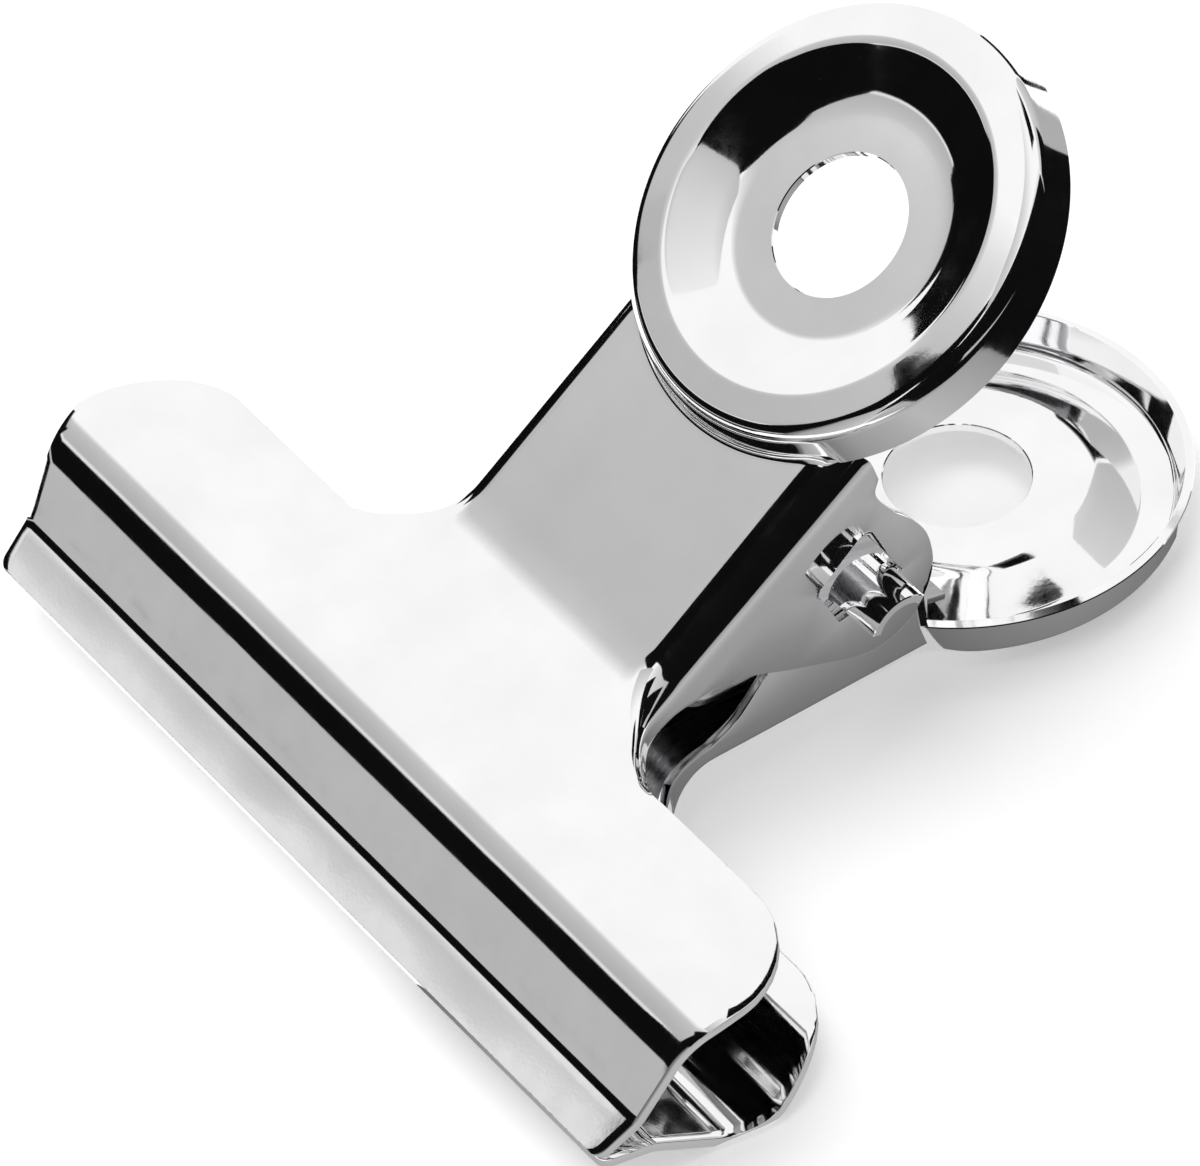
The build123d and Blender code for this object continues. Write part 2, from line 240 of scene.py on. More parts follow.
# round grip, turned about its hole
grip = dict(holeBack=38.8, holeUp=11.1, holeRadius=3.73, dishRadius=6.315, dishBend=3.0, brimRadius=9.129,
            brimHeight=1.312, brimBend=1.0, crestRadius=11.279, crestHeight=1.086, crestBend=1.0,
            skirtRadius=11.85, skirtDrop=1.4, turnSteps=192, arcStep=2.0, runStep=0.4)


def gripPoint(x, v, h):
    # along the grip's plane by v and off it by h, both turned by the neck's tilt
    t = radians(sheet["neckTilt"])
    back = grip["holeBack"] + v * cos(t) - h * sin(t)
    return np.stack([x, back, grip["holeUp"] + v * sin(t) + h * cos(t)], -1)


def gripShell():
    # closed sheet profile (outer line, cut edge, inner line, cut edge) turned about the hole axis
    corners = [(grip["holeRadius"], 0.0), (grip["dishRadius"], 0.0), (grip["brimRadius"], grip["brimHeight"]),
               (grip["crestRadius"], grip["crestHeight"]), (grip["skirtRadius"], -grip["skirtDrop"])]
    bends = [grip["dishBend"], grip["brimBend"], grip["crestBend"]]
    outer, normal = roundedPath(corners, bends, radians(grip["arcStep"]), grip["runStep"])
    inner = outer - sheet["thick"] * normal
    ends = []
    for i, j in ((0, 1), (-1, -2)):
        along = (outer[j] - outer[i]) / np.linalg.norm(outer[j] - outer[i])
        ends.append((outer[i] - edgeRound * normal[i], inner[i] + edgeRound * normal[i]))
        outer[i] += edgeRound * along
        inner[i] += edgeRound * along
    loop = np.vstack([outer, ends[1][0], ends[1][1], inner[::-1], ends[0][1], ends[0][0]])
    a = np.linspace(0, 2 * pi, grip["turnSteps"], endpoint=False)[:, None]
    points = gripPoint(loop[:, 0] * np.sin(a), -loop[:, 0] * np.cos(a), loop[:, 1] + 0 * a)
    return points.reshape(-1, 3), gridFaces(len(a), len(loop), True, True)


def jawSheet(jaw):
    # outer face of one pressed sheet as joined grids: front and neck, two end wings, two folds and two
    # flat sides
    s = sectionOf(jaw)
    half, band, throat = jaw["half"], sheet["foldBand"], sheet["throatRadius"]
    cx, cy = half + throat, sheet["shoulder"] + throat
    plane = grip["holeUp"] + (s["neckLine"][0] - grip["holeBack"]) * tan(s["tilt"])
    neckH = -(plane - s["neckLine"][1]) * cos(s["tilt"])
    lean = (grip["skirtRadius"] - grip["crestRadius"]) / (grip["crestHeight"] + grip["skirtDrop"])
    wall = grip["skirtRadius"] - lean * (neckH + grip["skirtDrop"])
    fillet = jaw["cornerFillet"]
    reach = wall + fillet * (sqrt(1 + lean ** 2) - lean)

    # the fold starts from nothing as the outline swings round the throat: its depth grows first, its angle
    # follows the depth, and its radius goes from a tight bend to the neck's own
    swing = np.linspace(0, pi / 2, gridSteps["throat"])
    edgeY = cy - throat * np.cos(swing)
    depth = heightAt(s, edgeY) - np.interp(edgeY, *np.array(jaw["frontEdge"]).T)
    depth = np.maximum(depth * smoothStep(swing / jaw["foldTo"]), sheet["depthLeast"])
    grown = smoothStep((swing - jaw["foldTo"]) / (pi / 2 - jaw["foldTo"]))
    radius = sheet["tightBend"] + (jaw["bend"] - sheet["tightBend"]) * grown
    turned = np.arccos(np.maximum(1 - depth * sheet["bendShare"] / radius, 0))
    radius = np.maximum(radius, sheet["bendLeast"] / turned)
    flange = np.maximum((depth - radius * (1 - np.cos(turned))) / np.sin(turned), sheet["flangeLeast"])
    inward, drop = foldAcross(turned, flange, radius)

    along = np.linspace(0, 1, gridSteps["neck"])[1:]
    lift = np.linspace(0, pi / 2 - atan(lean), gridSteps["fillet"])[1:]

    def neckPart(x, fall):
        # rows from the throat to the grip's skirt, then up the small fillet there; below the fillet the sides
        # reach further back
        hold = np.clip(1 - fall / jaw["filletFade"], 0, 1)
        far = gripPoint(x, -np.sqrt(np.maximum(reach ** 2 - x ** 2, 0)), neckH + 0 * x)[:, 1]
        far = far + jaw["rearReach"] * np.clip(sheet["rearStart"] - sheet["rearRate"] * hold, 0, 1)
        y = cy + along[:, None] * (far - cy)
        straight = np.stack([x + 0 * y, y, heightAt(s, y) - fall], -1)
        r = reach - fillet * np.sin(lift)[:, None] * hold
        v = -np.sqrt(np.maximum(r ** 2 - x ** 2, 0))
        base = -np.sqrt(np.maximum(reach ** 2 - x ** 2, 0))
        step = gripPoint(0 * v, v - base, fillet * (1 - np.cos(lift))[:, None] * hold)
        zero = gripPoint(0 * v, 0 * v, 0 * v)
        return np.concatenate([straight, straight[-1:] + (step - zero) * np.array([0, 1, 1])])

    u = np.linspace(-1, 1, gridSteps["across"])
    rows = frontRows(s)
    ringY, ringX = cy - (throat + band) * np.cos(swing[1:]), cx - (throat + band) * np.sin(swing[1:])
    y = np.concatenate([rows, ringY])[:, None]
    x = np.concatenate([np.full(len(rows), cx), ringX])[:, None] * u
    centre = np.concatenate([np.stack([x, y + 0 * x, heightAt(s, y) + 0 * x], -1),
                             neckPart((half - band) * u, 0 * u)])

    wingY = np.concatenate([rows, sheet["shoulder"] - inward[0][1:]])[:, None]
    w = np.linspace(0, 1, gridSteps["wing"])
    x = cx + (endAt(s, wingY) - cx) * w
    wing = np.stack([x, wingY + 0 * x, heightAt(s, wingY) + 0 * x], -1)

    a = swing[:, None]
    x, y = cx - (throat + inward) * np.sin(a), cy - (throat + inward) * np.cos(a)
    fold = np.concatenate([np.stack([x, y, heightAt(s, y) - drop], -1),
                           neckPart(half - inward[-1], drop[-1])])

    # flat side below the fold: its upper edge is the fold's last line, the rest is the cut outline
    top = fold[len(swing) - 1:len(swing) + len(along), -1, 1:]
    outline = np.vstack([top, jaw["sideLine"](top[-1], top[0])[1:-1]])
    loops = [outline] + ([jaw["window"]()] if "window" in jaw else [])
    spots = np.vstack(loops)
    ends = np.cumsum([len(loop) for loop in loops])
    edges = []
    for stop, loop in zip(ends, loops):
        n = np.arange(stop - len(loop), stop)
        edges += list(zip(n.tolist(), np.roll(n, -1).tolist()))
    got = delaunay_2d_cdt([Vector(p) for p in spots.tolist()], edges, [], keepInside, cutGap)
    spots = np.array([tuple(p) for p in got[0]])
    cells = np.array([list(f) for f in got[2]])
    if len(loops) > 1:
        cells = cells[~insideLoop(spots[cells].mean(1), loops[1])]
    plate = np.column_stack([np.full(len(spots), half), spots])

    bm = bmesh.new()
    flipped = jaw["side"] < 0
    turnOver = np.array([1, 1, jaw["side"]])
    addShell(bm, place(centre.reshape(-1, 3) * turnOver), gridFaces(*centre.shape[:2], flip=flipped))
    for hand in (1, -1):
        facing = flipped if hand > 0 else not flipped
        swap = turnOver * np.array([hand, 1, 1])
        for grid in (wing, fold):
            addShell(bm, place(grid.reshape(-1, 3) * swap), gridFaces(*grid.shape[:2], flip=facing))
        addShell(bm, place(plate * swap), cells[:, ::-1] if facing else cells)
    bmesh.ops.remove_doubles(bm, verts=bm.verts, dist=joinGap)
    bmesh.ops.dissolve_degenerate(bm, edges=bm.edges, dist=tinyGap)
    return bm


def insideLoop(points, loop):
    # a point is inside when a ray from it crosses the loop an odd number of times
    a, b = loop, np.roll(loop, -1, 0)
    px, py = points[:, :1], points[:, 1:]
    across = (a[:, 1] > py) != (b[:, 1] > py)
    rise = np.where(b[:, 1] == a[:, 1], 1, b[:, 1] - a[:, 1])
    where = a[:, 0] + (py - a[:, 1]) * (b[:, 0] - a[:, 0]) / rise
    return ((px < where) & across).sum(1) % 2 == 1


def thickSheet(bm, name):
    # wall thickness inward from the outer face, then a small round on every cut edge
    mesh = bpy.data.meshes.new(name + "Face")
    bm.to_mesh(mesh)
    bm.free()
    thing = bpy.data.objects.new(name + "Face", mesh)
    bpy.context.scene.collection.objects.link(thing)
    wall = thing.modifiers.new("wall", "SOLIDIFY")
    wall.thickness = sheet["thick"] * mm
    wall.offset = -1
    wall.use_even_offset = True
    wall.use_quality_normals = True
    edge = thing.modifiers.new("edge", "BEVEL")
    edge.width = edgeRound * mm
    edge.segments = edgeRows
    edge.limit_method = "ANGLE"
    edge.angle_limit = radians(edgeAngle)
    edge.use_clamp_overlap = False
    graph = bpy.context.evaluated_depsgraph_get()
    done = bpy.data.meshes.new_from_object(thing.evaluated_get(graph))
    bpy.data.objects.remove(thing)
    bpy.data.meshes.remove(mesh)
    return done


def finishPiece(name, shells):
    # shells joined in one mesh, smooth except across cut edges
    bm = bmesh.new()
    for shell in shells:
        if isinstance(shell, tuple):
            addShell(bm, *shell)
        else:
            bm.from_mesh(shell)
            bpy.data.meshes.remove(shell)
    mesh = bpy.data.meshes.new(name)
    bm.to_mesh(mesh)
    bm.free()
    mesh.polygons.foreach_set("use_smooth", np.ones(len(mesh.polygons), bool))
    mesh.set_sharp_from_angle(angle=radians(smoothAngle))
    piece = bpy.data.objects.new(name, mesh)
    bpy.context.scene.collection.objects.link(piece)
    return piece


# window in the ear: a bent four-sided opening whose foot follows the lug, all about the hinge
window = dict(corners=[(1.05, 4.53), (-2.4, 3.08)], cornerRadius=0.35, footRight=67.7, pocketAngle=85.0,
              lugRadius=1.93, play=0.1, footSteps=6, arcSteps=41, cornerStep=15.0, runStep=9.0)


def earWindow():
    # lug arc outside, two corners above, then back along the tongue's arc inside; angles from straight up
    big, small = window["lugRadius"] + window["play"], window["lugRadius"] - sheet["thick"] - window["play"]
    hinge = np.array([hingeSpot["back"], hingeSpot["up"]])
    a = np.radians(np.linspace(window["pocketAngle"], window["footRight"], window["footSteps"]))
    right = big * np.stack([np.sin(a), np.cos(a)], 1)
    c = np.radians(np.linspace(-window["pocketAngle"], window["pocketAngle"], window["arcSteps"]))
    inner = small * np.stack([np.sin(c), np.cos(c)], 1)
    pocket = radians(window["pocketAngle"])
    left = big * np.array([[-sin(pocket), cos(pocket)]])
    upper, _ = roundedPath([right[-1]] + window["corners"] + [left[0]], [window["cornerRadius"]] * 2,
                           radians(window["cornerStep"]), window["runStep"])
    return hinge + np.vstack([right[:-1], upper, inner])


# ear: its cut edge about the hinge from the grip round to the front, then the edge on to the throat
ear = dict(edge=[(2.4, 6.18), (2.85, 4.38), (3.55, 2.88), (3.95, 1.28), (3.75, -0.52), (3.05, -1.92),
                 (1.85, -3.02), (0.45, -3.52), (-0.85, -3.42), (-1.95, -2.92), (-3.35, -1.82),
                 (-5.35, -0.22)],
           throat=[(22.5, -1.0), (21.3, -0.1), (20.2, 0.4)])


def earSide(rear, front):
    # cut line of the upper side from the grip round the ear to the throat
    line = [(hingeSpot["back"] + y, hingeSpot["up"] + z) for y, z in ear["edge"]]
    return softLine([tuple(rear)] + line + ear["throat"] + [tuple(front)])


# arched lug on each side of the lower jaw, through the ear's window, and the cut edge of the side it is on
lug = dict(halfAngle=58.0, start=7.7, reach=11.35, arcSteps=33, endTurn=30.0, level=-0.93, rootSteps=25,
           behind=[(32.0, 6.0), (32.4, 4.0), (32.2, 2.0)], behindFoot=31.6, aheadFoot=26.6,
           ahead=[(25.0, 1.4), (22.8, 2.3), (20.7, 3.45)])


def lugSide(rear, front):
    # cut line of the lower side, before it is turned over: level beside the lug, round under the lug's root
    hy, hz = hingeSpot["back"], -hingeSpot["up"]
    level = hz + lug["level"]
    spread = np.arccos(-lug["level"] / window["lugRadius"])
    a = np.linspace(spread, -spread, lug["rootSteps"])
    root = np.stack([hy + window["lugRadius"] * np.sin(a), hz - window["lugRadius"] * np.cos(a)], 1)
    back = softLine([tuple(rear)] + lug["behind"] + [(lug["behindFoot"], level)])
    ahead = softLine([(lug["aheadFoot"], level)] + lug["ahead"] + [tuple(front)])
    return np.vstack([back, root, ahead])


# what differs between the jaws: half width and lift of the neck, radii of valley and fold, where the fold is
# full grown, the fillet at the grip, how far the sides reach back, and the free edge in the throat
upperJaw = dict(name="upperJaw", node="upper_jaw", body="upper", half=8.75, lift=0.0, side=1, valley=14.0,
                bend=2.0, foldTo=radians(40), cornerFillet=0.45, filletFade=0.9, rearReach=1.1,
                sideLine=earSide, window=earWindow,
                frontEdge=[(13.8, 2.5), (14.2, 1.9), (15.6, 1.75), (17.0, 1.2), (18.8, 0.69)])
lowerJaw = dict(name="lowerJaw", node="lower_jaw", body="lower", half=8.2, lift=2.0, side=-1, valley=6.0,
                bend=1.3, foldTo=radians(40), cornerFillet=0.3, filletFade=0.9, rearReach=0.55,
                sideLine=lugSide,
                frontEdge=[(13.8, 3.9), (14.2, 2.65), (16.0, 2.95), (18.0, 3.6), (18.8, 3.8)])


def lugShell(hand):
    # closed arch profile (outer arc, inner arc back) carried along x, its far end drawn in to a small round
    def profile(inset):
        a = np.radians(np.linspace(-1, 1, lug["arcSteps"]) * (lug["halfAngle"] - inset * lug["endTurn"]))
        big, small = window["lugRadius"] - inset, window["lugRadius"] - sheet["thick"] + inset
        arcs = [r * np.stack([np.sin(t), np.cos(t)], 1) for r, t in ((big, a), (small, a[::-1]))]
        return np.vstack(arcs) + np.array([hingeSpot["back"], hingeSpot["up"]])
    rings = [(lug["start"], 0.0), (lug["reach"] - edgeRound, 0.0), (lug["reach"], edgeRound)]
    loops = [np.column_stack([np.full(2 * lug["arcSteps"], hand * x), profile(inset)]) for x, inset in rings]
    n = len(loops[0])
    faces = gridFaces(len(loops), n, wrapCols=True, flip=hand < 0).tolist()
    k = np.arange(n // 2 - 1)
    strip = np.stack([k, k + 1, n - 2 - k, n - 1 - k], -1)
    near, far = (strip, strip[:, ::-1] + 2 * n) if hand < 0 else (strip[:, ::-1], strip + 2 * n)
    return place(np.vstack(loops)), faces + near.tolist() + far.tolist()


def makeJaw(jaw):
    # sheet, grip and, on the lower jaw, the two lugs as one piece
    shells = [thickSheet(jawSheet(jaw), jaw["name"])]
    points, faces = gripShell()
    flat = points * np.array([1, 1, jaw["side"]])
    shells.append((place(flat), faces[:, ::-1] if jaw["side"] < 0 else faces))
    if "window" not in jaw:
        shells += [lugShell(hand) for hand in (1, -1)]
    piece = finishPiece(jaw["name"], shells)
    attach(piece, jaw["body"])
    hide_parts(jaw["node"])
    print(jaw["name"], "faces", len(piece.data.polygons))
    return piece


# spring strip: a loop in front of the hinge and two legs that bear under the grips
spring = dict(thick=0.35, width=13.6, loopRadius=3.0, legGap=0.785, kneeBack=28.2, kneeBend=3.0, tipBack=33.4,
              play=0.12, arcStep=4.0, runStep=0.5, followHalf=1.2)


def makeSpring():
    # middle line tip, knee, nose, nose, knee, tip with round corners; a flat section with cut corners is
    # carried along it
    tilt = radians(sheet["neckTilt"])
    room = spring["loopRadius"] + spring["thick"] / 2 + spring["legGap"] + sheet["thick"]
    loopBack = sheet["neckBack"] + (room / cos(tilt) - sheet["neckUp"]) / tan(tilt)
    nose = loopBack - spring["loopRadius"]
    touch = (loopBack - spring["loopRadius"] * sin(tilt), spring["loopRadius"] * cos(tilt))
    kneeUp = touch[1] + (spring["kneeBack"] - touch[0]) * tan(tilt)
    noseUp = kneeUp + (nose - spring["kneeBack"]) * tan(tilt)
    under = (sheet["thick"] + spring["thick"] / 2 + spring["play"]) / cos(tilt)
    tipUp = grip["holeUp"] + (spring["tipBack"] - grip["holeBack"]) * tan(tilt) - under
    half = [(spring["tipBack"], tipUp), (spring["kneeBack"], kneeUp), (nose, noseUp)]
    corners = half + [(y, -z) for y, z in half[::-1]]
    bends = [spring["kneeBend"], spring["loopRadius"], spring["loopRadius"], spring["kneeBend"]]
    line, normal = roundedPath(corners, bends, radians(spring["arcStep"]), spring["runStep"])
    w, t, c = spring["width"] / 2, spring["thick"] / 2, edgeRound
    loop = np.array([(-w, -t + c), (-w, t - c), (-w + c, t), (w - c, t), (w, t - c), (w, -t + c), (w - c, -t),
                     (-w + c, -t)])
    x = loop[:, 0] + 0 * line[:, :1]
    yz = line[:, None] + normal[:, None] * loop[None, :, 1:]
    points = np.concatenate([x[..., None], yz], -1)
    faces = gridFaces(len(line), len(loop), wrapCols=True).tolist()
    last = (len(line) - 1) * len(loop)
    faces += [list(range(len(loop)))[::-1], [last + i for i in range(len(loop))]]
    bm = bmesh.new()
    addShell(bm, place(points), faces)
    bmesh.ops.remove_doubles(bm, verts=bm.verts, dist=tinyGap)
    bmesh.ops.recalc_face_normals(bm, faces=bm.faces)
    mesh = bpy.data.meshes.new("springLoop")
    bm.to_mesh(mesh)
    bm.free()
    piece = finishPiece("spring", [mesh])
    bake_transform(piece)
    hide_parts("spring")
    print("spring faces", len(piece.data.polygons))
    return piece


def newMaterial(name):
    # material, its node tree and its main shader
    material = bpy.data.materials.new(name)
    material.use_nodes = True
    tree = material.node_tree
    return material, tree, tree.nodes["Principled BSDF"]


# part of the noise's range that is spread over a band of values
noiseRange = (0.3, 0.7)
evenly = (1, 1, 1)


def noiseBand(tree, scale, detail, stretch, low, high):
    # noise on the piece's own coordinates, stretched along an axis, mapped to a range of values
    where = tree.nodes.new("ShaderNodeTexCoord")
    turn = tree.nodes.new("ShaderNodeMapping")
    turn.inputs["Scale"].default_value = stretch
    noise = tree.nodes.new("ShaderNodeTexNoise")
    noise.inputs["Scale"].default_value = scale
    noise.inputs["Detail"].default_value = detail
    span = tree.nodes.new("ShaderNodeMapRange")
    span.inputs["From Min"].default_value = noiseRange[0]
    span.inputs["From Max"].default_value = noiseRange[1]
    span.inputs["To Min"].default_value = low
    span.inputs["To Max"].default_value = high
    tree.links.new(where.outputs["Object"], turn.inputs["Vector"])
    tree.links.new(turn.outputs["Vector"], noise.inputs["Vector"])
    tree.links.new(noise.outputs["Fac"], span.inputs["Value"])
    return span.outputs["Result"]


def tintBetween(tree, amount, dark, light):
    # two close metal colours mixed by a noise value
    mix = tree.nodes.new("ShaderNodeMix")
    mix.data_type = "RGBA"
    mix.inputs["A"].default_value = dark
    mix.inputs["B"].default_value = light
    tree.links.new(amount, mix.inputs["Factor"])
    return mix.outputs["Result"]


# the two metals: colours, then scale and detail of each noise, range of roughness, and depths in metres
plating = dict(dark=(0.90, 0.90, 0.905, 1), light=(0.955, 0.955, 0.96, 1), driftScale=260.0, driftDetail=3.0,
               roughLow=0.035, roughHigh=0.075, roughScale=900.0, roughDetail=4.0,
               waveScale=140.0, waveDetail=1.0, waveDepth=0.00002,
               grainScale=5200.0, grainDetail=2.0, grainDepth=0.0000002)
springFinish = dict(dark=(0.36, 0.36, 0.37, 1), light=(0.47, 0.47, 0.48, 1), stretch=(8, 0.6, 0.6),
                    streakScale=300.0, streakDetail=4.0,
                    roughLow=0.22, roughHigh=0.36, roughScale=420.0, roughDetail=3.0,
                    grainScale=900.0, grainDetail=2.0, grainDepth=0.000006)


def brightPlating():
    # polished plating: faint colour drift, fine grain, and a slow wave left by the press
    material, tree, shader = newMaterial("brightPlating")
    shader.inputs["Metallic"].default_value = 1.0
    drift = noiseBand(tree, plating["driftScale"], plating["driftDetail"], evenly, 0.0, 1.0)
    tree.links.new(tintBetween(tree, drift, plating["dark"], plating["light"]), shader.inputs["Base Color"])
    rough = noiseBand(tree, plating["roughScale"], plating["roughDetail"], evenly, plating["roughLow"],
                      plating["roughHigh"])
    tree.links.new(rough, shader.inputs["Roughness"])
    wave = tree.nodes.new("ShaderNodeBump")
    wave.inputs["Distance"].default_value = plating["waveDepth"]
    swell = noiseBand(tree, plating["waveScale"], plating["waveDetail"], evenly, 0.0, 1.0)
    tree.links.new(swell, wave.inputs["Height"])
    grain = tree.nodes.new("ShaderNodeBump")
    grain.inputs["Distance"].default_value = plating["grainDepth"]
    specks = noiseBand(tree, plating["grainScale"], plating["grainDetail"], evenly, 0.0, 1.0)
    tree.links.new(specks, grain.inputs["Height"])
    tree.links.new(wave.outputs["Normal"], grain.inputs["Normal"])
    tree.links.new(grain.outputs["Normal"], shader.inputs["Normal"])
    return material


def rolledSteel():
    # darker rolled strip: streaks along its length in colour, roughness and height
    material, tree, shader = newMaterial("rolledSteel")
    shader.inputs["Metallic"].default_value = 1.0
    look = springFinish
    streak = noiseBand(tree, look["streakScale"], look["streakDetail"], look["stretch"], 0.0, 1.0)
    tree.links.new(tintBetween(tree, streak, look["dark"], look["light"]), shader.inputs["Base Color"])
    rough = noiseBand(tree, look["roughScale"], look["roughDetail"], look["stretch"], look["roughLow"],
                      look["roughHigh"])
    tree.links.new(rough, shader.inputs["Roughness"])
    bump = tree.nodes.new("ShaderNodeBump")
    bump.inputs["Distance"].default_value = look["grainDepth"]
    grain = noiseBand(tree, look["grainScale"], look["grainDetail"], look["stretch"], 0.0, 1.0)
    tree.links.new(grain, bump.inputs["Height"])
    tree.links.new(bump.outputs["Normal"], shader.inputs["Normal"])
    return material


def ownRays(tree, kinds):
    # 1 for the kinds of ray named, 0 for the rest
    path = tree.nodes.new("ShaderNodeLightPath")
    total = path.outputs[kinds[0]]
    for kind in kinds[1:]:
        more = tree.nodes.new("ShaderNodeMath")
        more.operation = "MAXIMUM"
        tree.links.new(total, more.inputs[0])
        tree.links.new(path.outputs[kind], more.inputs[1])
        total = more.outputs["Value"]
    return total


# room, floor and lamp, in metres
studio = dict(worldLight=0.55, floorSize=1.2, floorDrop=0.00005, floorColour=(0.86, 0.86, 0.86, 1),
              floorRough=0.9, floorLift=0.28, white=(1, 1, 1, 1),
              seenBy=["Is Camera Ray", "Is Glossy Ray", "Is Transmission Ray"],
              lampPlace=(-0.25, -0.1, 0.75), lampSize=0.9, lampPower=5.0)

# grey level of the dark cards
black = 0.004
# cards round the clip, seen only in its plating: corners in millimetres, then grey levels along one axis
cards = dict(
    front=dict(corners=[(-150, -85, 0), (-33, -85, 0), (-33, -85, 66), (-150, -85, 66)], axis=2,
               levels=[(0, black), (6.5, black), (7.5, 0.5), (12.5, 0.5), (14, black), (56.5, black),
                       (61, 0.8), (66, 0.8)]),
    frontMiddle=dict(corners=[(-33, -85, 0), (2, -85, 0), (2, -85, 66), (-33, -85, 66)], axis=2,
                     levels=[(0, black), (6.5, black), (7.5, 0.5), (12.5, 0.5), (14, black), (66, black)]),
    frontRight=dict(corners=[(2, -85, 0), (62, -85, 0), (62, -85, 66), (2, -85, 66)], axis=0,
                    levels=[(2, 0.1), (12, 0.4), (62, 0.6)]),
    frontLeft=dict(corners=[(-152, -84, 14), (-128, -84, 14), (-128, -84, 118), (-152, -84, 118)], axis=2,
                   levels=[(14, black), (92, black), (102, 0.5), (118, 0.5)]),
    frontHigh=dict(corners=[(-34, -85, 66), (36, -85, 66), (36, -85, 98), (62, -85, 98), (62, -85, 144),
                            (36, -85, 144), (36, -85, 200), (-4, -85, 200), (-62, -85, 137), (-34, -85, 112)],
                   axis=2, levels=[(66, black), (200, black)]),
    leftHigh=dict(corners=[(-260, -86, 66), (-28, -86, 66), (-28, -86, 215), (-260, -86, 215)], axis=2,
                  levels=[(66, 0.7), (72, 0.48), (110, 0.53), (160, 0.60), (215, 1.0)]),
    right=dict(corners=[(62, -85, 58), (62, -60, 38), (62, -40, 20), (62, -22, 0), (62, 150, 0),
                        (62, 150, 27), (62, -7, 27), (62, -12, 46), (62, -25, 64), (62, -40, 78),
                        (62, -60, 104), (62, -85, 146)], axis=2, levels=[(0, black), (146, black)]),
    rightFar=dict(corners=[(64, -85, 0), (64, 150, 0), (64, 150, 190), (64, -85, 190)], axis=2,
                  levels=[(0, 0.4), (60, 0.6), (190, 0.9)]),
    back=dict(corners=[(-48, 150, 14), (62, 150, 14), (62, 150, 150), (-48, 150, 150)], axis=2,
              levels=[(14, 0.42), (60, 0.55), (150, 0.7)]),
    backRight=dict(corners=[(8, 149, 14), (62, 149, 14), (62, 149, 105), (8, 149, 105)], axis=2,
                   levels=[(14, black), (105, black)]),
    backLeft=dict(corners=[(-105, 150, 0), (-52, 150, 0), (-52, 150, 60), (-105, 150, 60)], axis=2,
                  levels=[(0, black), (50, black), (60, 0.5)]),
    nearBack=dict(corners=[(-12, 48, 70), (10, 48, 70), (10, 48, 120), (-12, 48, 120)], axis=0,
                  levels=[(-12, 0.2), (-6, black), (10, black)]),
    nearRim=dict(corners=[(17, -12, 24), (17, 36, 27), (17, 36, 46), (17, -12, 46)], axis=1,
                 levels=[(-12, black), (36, black)]),
    nearLug=dict(corners=[(16, -4, 23), (36, -4, 23), (36, 28, 23), (16, 28, 23)], axis=0,
                 levels=[(16, black), (36, black)]),
    overhead=dict(corners=[(-60, -85, 200), (62, -85, 200), (62, 70, 230), (-60, 70, 230)], axis=1,
                  levels=[(-85, 0.55), (-25, 0.75), (30, 0.95), (70, 1.0)]),
    left=dict(corners=[(-150, -86, 0), (-150, 4, 0), (-150, 4, 42), (-150, -26, 42), (-150, -34, 95),
                       (-150, -86, 95)], axis=2, levels=[(0, black), (87, black), (95, 0.5)]),
    floorFront=dict(corners=[(-600, -600, 1), (-8, -600, 1), (-8, -60, 1), (-60, -60, 1), (-110, -40, 1),
                             (-600, -40, 1)], axis=0, levels=[(-600, black), (-8, black)]),
    # painted shade: a grey card lying on the floor beside the clip, darkest next to it, that the plating reflects
    # in place of the floor's own shade there
    floorShadeRight=dict(corners=[(9, -30, 0.4), (62, -30, 0.4), (62, 70, 0.4), (9, 70, 0.4)], axis=0,
                    levels=[(9, 0.16), (16, 0.34), (30, 0.5), (62, 0.3)]),
)


def makeStudio():
    # white room, pale floor that keeps the shadow, the cards, and one soft lamp
    world = bpy.data.worlds.new("paleRoom")
    bpy.context.scene.world = world
    world.use_nodes = True
    tree = world.node_tree
    back = tree.nodes["Background"]
    level = tree.nodes.new("ShaderNodeMapRange")
    level.inputs["To Min"].default_value = studio["worldLight"]
    level.inputs["To Max"].default_value = 1.0
    tree.links.new(ownRays(tree, studio["seenBy"]), level.inputs["Value"])
    tree.links.new(level.outputs["Result"], back.inputs["Strength"])
    back.inputs["Color"].default_value = studio["white"]

    size, low = studio["floorSize"], -studio["floorDrop"]
    corners = [(-size, -size, low), (size, -size, low), (size, size, low), (-size, size, low)]
    floor = cardObject("floor", corners)
    material, tree, shader = newMaterial("paleFloor")
    shader.inputs["Base Color"].default_value = studio["floorColour"]
    shader.inputs["Roughness"].default_value = studio["floorRough"]
    shader.inputs["Specular IOR Level"].default_value = 0.0
    glow = tree.nodes.new("ShaderNodeMath")
    glow.operation = "MULTIPLY"
    glow.inputs[1].default_value = studio["floorLift"]
    tree.links.new(ownRays(tree, studio["seenBy"]), glow.inputs[0])
    shader.inputs["Emission Color"].default_value = studio["white"]
    tree.links.new(glow.outputs["Value"], shader.inputs["Emission Strength"])
    floor.data.materials.append(material)

    for name, card in cards.items():
        thing = cardObject(name + "Card", np.array(card["corners"], float) * mm)
        thing.data.materials.append(cardGlow(name, card))
        for kind in ("camera", "diffuse", "shadow", "transmission", "volume_scatter"):
            setattr(thing, "visible_" + kind, False)

    lamp = bpy.data.lights.new("softLamp", "AREA")
    lamp.size = studio["lampSize"]
    lamp.energy = studio["lampPower"]
    thing = bpy.data.objects.new("softLamp", lamp)
    thing.location = studio["lampPlace"]
    thing.rotation_euler = (-Vector(studio["lampPlace"])).to_track_quat("-Z", "Y").to_euler()
    thing.visible_glossy = False
    bpy.context.scene.collection.objects.link(thing)


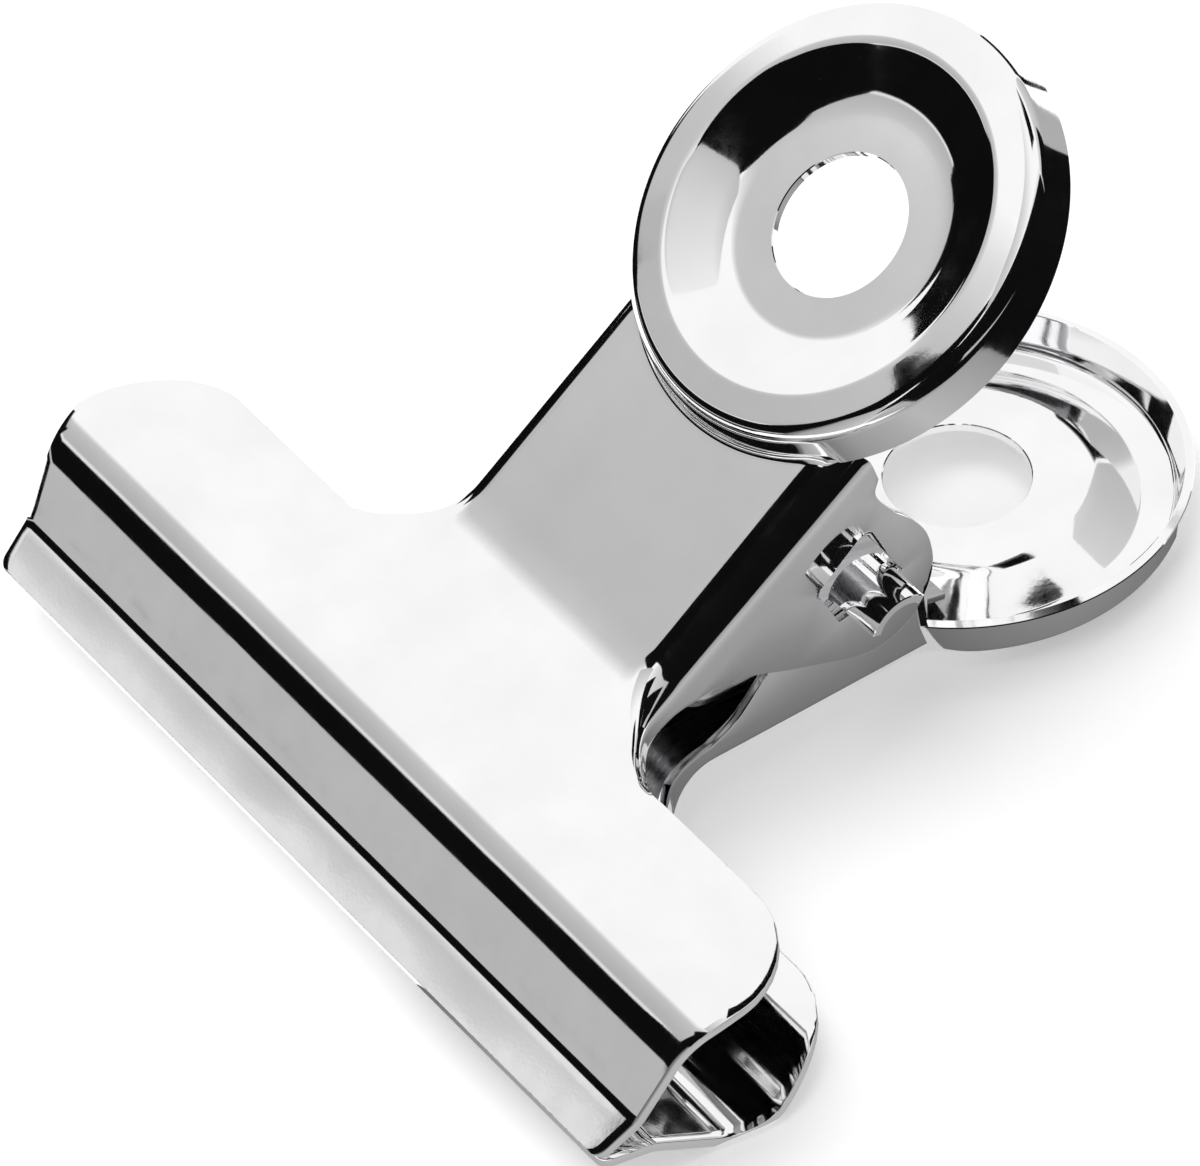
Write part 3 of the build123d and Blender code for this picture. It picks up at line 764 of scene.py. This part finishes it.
def cardGlow(name, card):
    # grey level along the card's axis, straight between the listed places; a new stop starts midway and is
    # then moved to its place
    material = bpy.data.materials.new(name + "Glow")
    material.use_nodes = True
    tree = material.node_tree
    tree.nodes.remove(tree.nodes["Principled BSDF"])
    where = tree.nodes.new("ShaderNodeTexCoord")
    split = tree.nodes.new("ShaderNodeSeparateXYZ")
    span = tree.nodes.new("ShaderNodeMapRange")
    ramp = tree.nodes.new("ShaderNodeValToRGB")
    glow = tree.nodes.new("ShaderNodeEmission")
    first, last = card["levels"][0][0], card["levels"][-1][0]
    span.inputs["From Min"].default_value = first * mm
    span.inputs["From Max"].default_value = last * mm
    steps = ramp.color_ramp.elements
    while len(steps) < len(card["levels"]):
        steps.new(0.5)
    for step, (spot, level) in zip(steps, card["levels"]):
        step.position = (spot - first) / (last - first)
        step.color = (level, level, level, 1)
    tree.links.new(where.outputs["Object"], split.inputs["Vector"])
    tree.links.new(split.outputs[card["axis"]], span.inputs["Value"])
    tree.links.new(span.outputs["Result"], ramp.inputs["Fac"])
    tree.links.new(ramp.outputs["Color"], glow.inputs["Color"])
    tree.links.new(glow.outputs["Emission"], tree.nodes["Material Output"].inputs["Surface"])
    return material


def cardObject(name, corners):
    # one flat face through the corners
    mesh = bpy.data.meshes.new(name)
    mesh.from_pydata([tuple(map(float, c)) for c in corners], [], [tuple(range(len(corners)))])
    thing = bpy.data.objects.new(name, mesh)
    bpy.context.scene.collection.objects.link(thing)
    return thing


# camera fitted to the photo, in the working frame: place in millimetres, line of sight, right, and the lens
# for a 36 mm wide frame
cameraView = dict(place=(294.385, -62.850, 387.918), look=(-0.59717, 0.167956, -0.784337),
                  right=(0.58507, 0.760122, -0.282691), lens=304.16, frameWidth=36.0)


def makeCamera():
    # the camera's axes are right, up = right x look, and away from the line of sight
    data = bpy.data.cameras.new("camera")
    data.sensor_fit = "HORIZONTAL"
    data.sensor_width = cameraView["frameWidth"]
    data.lens = cameraView["lens"]
    camera = bpy.data.objects.new("camera", data)
    spot, ahead, right = (place(cameraView[k])[0] for k in ("place", "look", "right"))
    ahead, right = Vector((ahead - mouthLine) / mm), Vector((right - mouthLine) / mm)
    camera.location = spot
    camera.rotation_euler = Matrix((right, right.cross(ahead), -ahead)).transposed().to_euler()
    bpy.context.scene.collection.objects.link(camera)
    bpy.context.scene.camera = camera


makeCamera()
print("camera set")
jaws = [makeJaw(jaw) for jaw in (upperJaw, lowerJaw)]
strip = makeSpring()
chrome = brightPlating()
for jaw in jaws:
    jaw.data.materials.append(chrome)
strip.data.materials.append(rolledSteel())
makeStudio()
bpy.context.scene.view_settings.view_transform = "Standard"
print("studio ready")
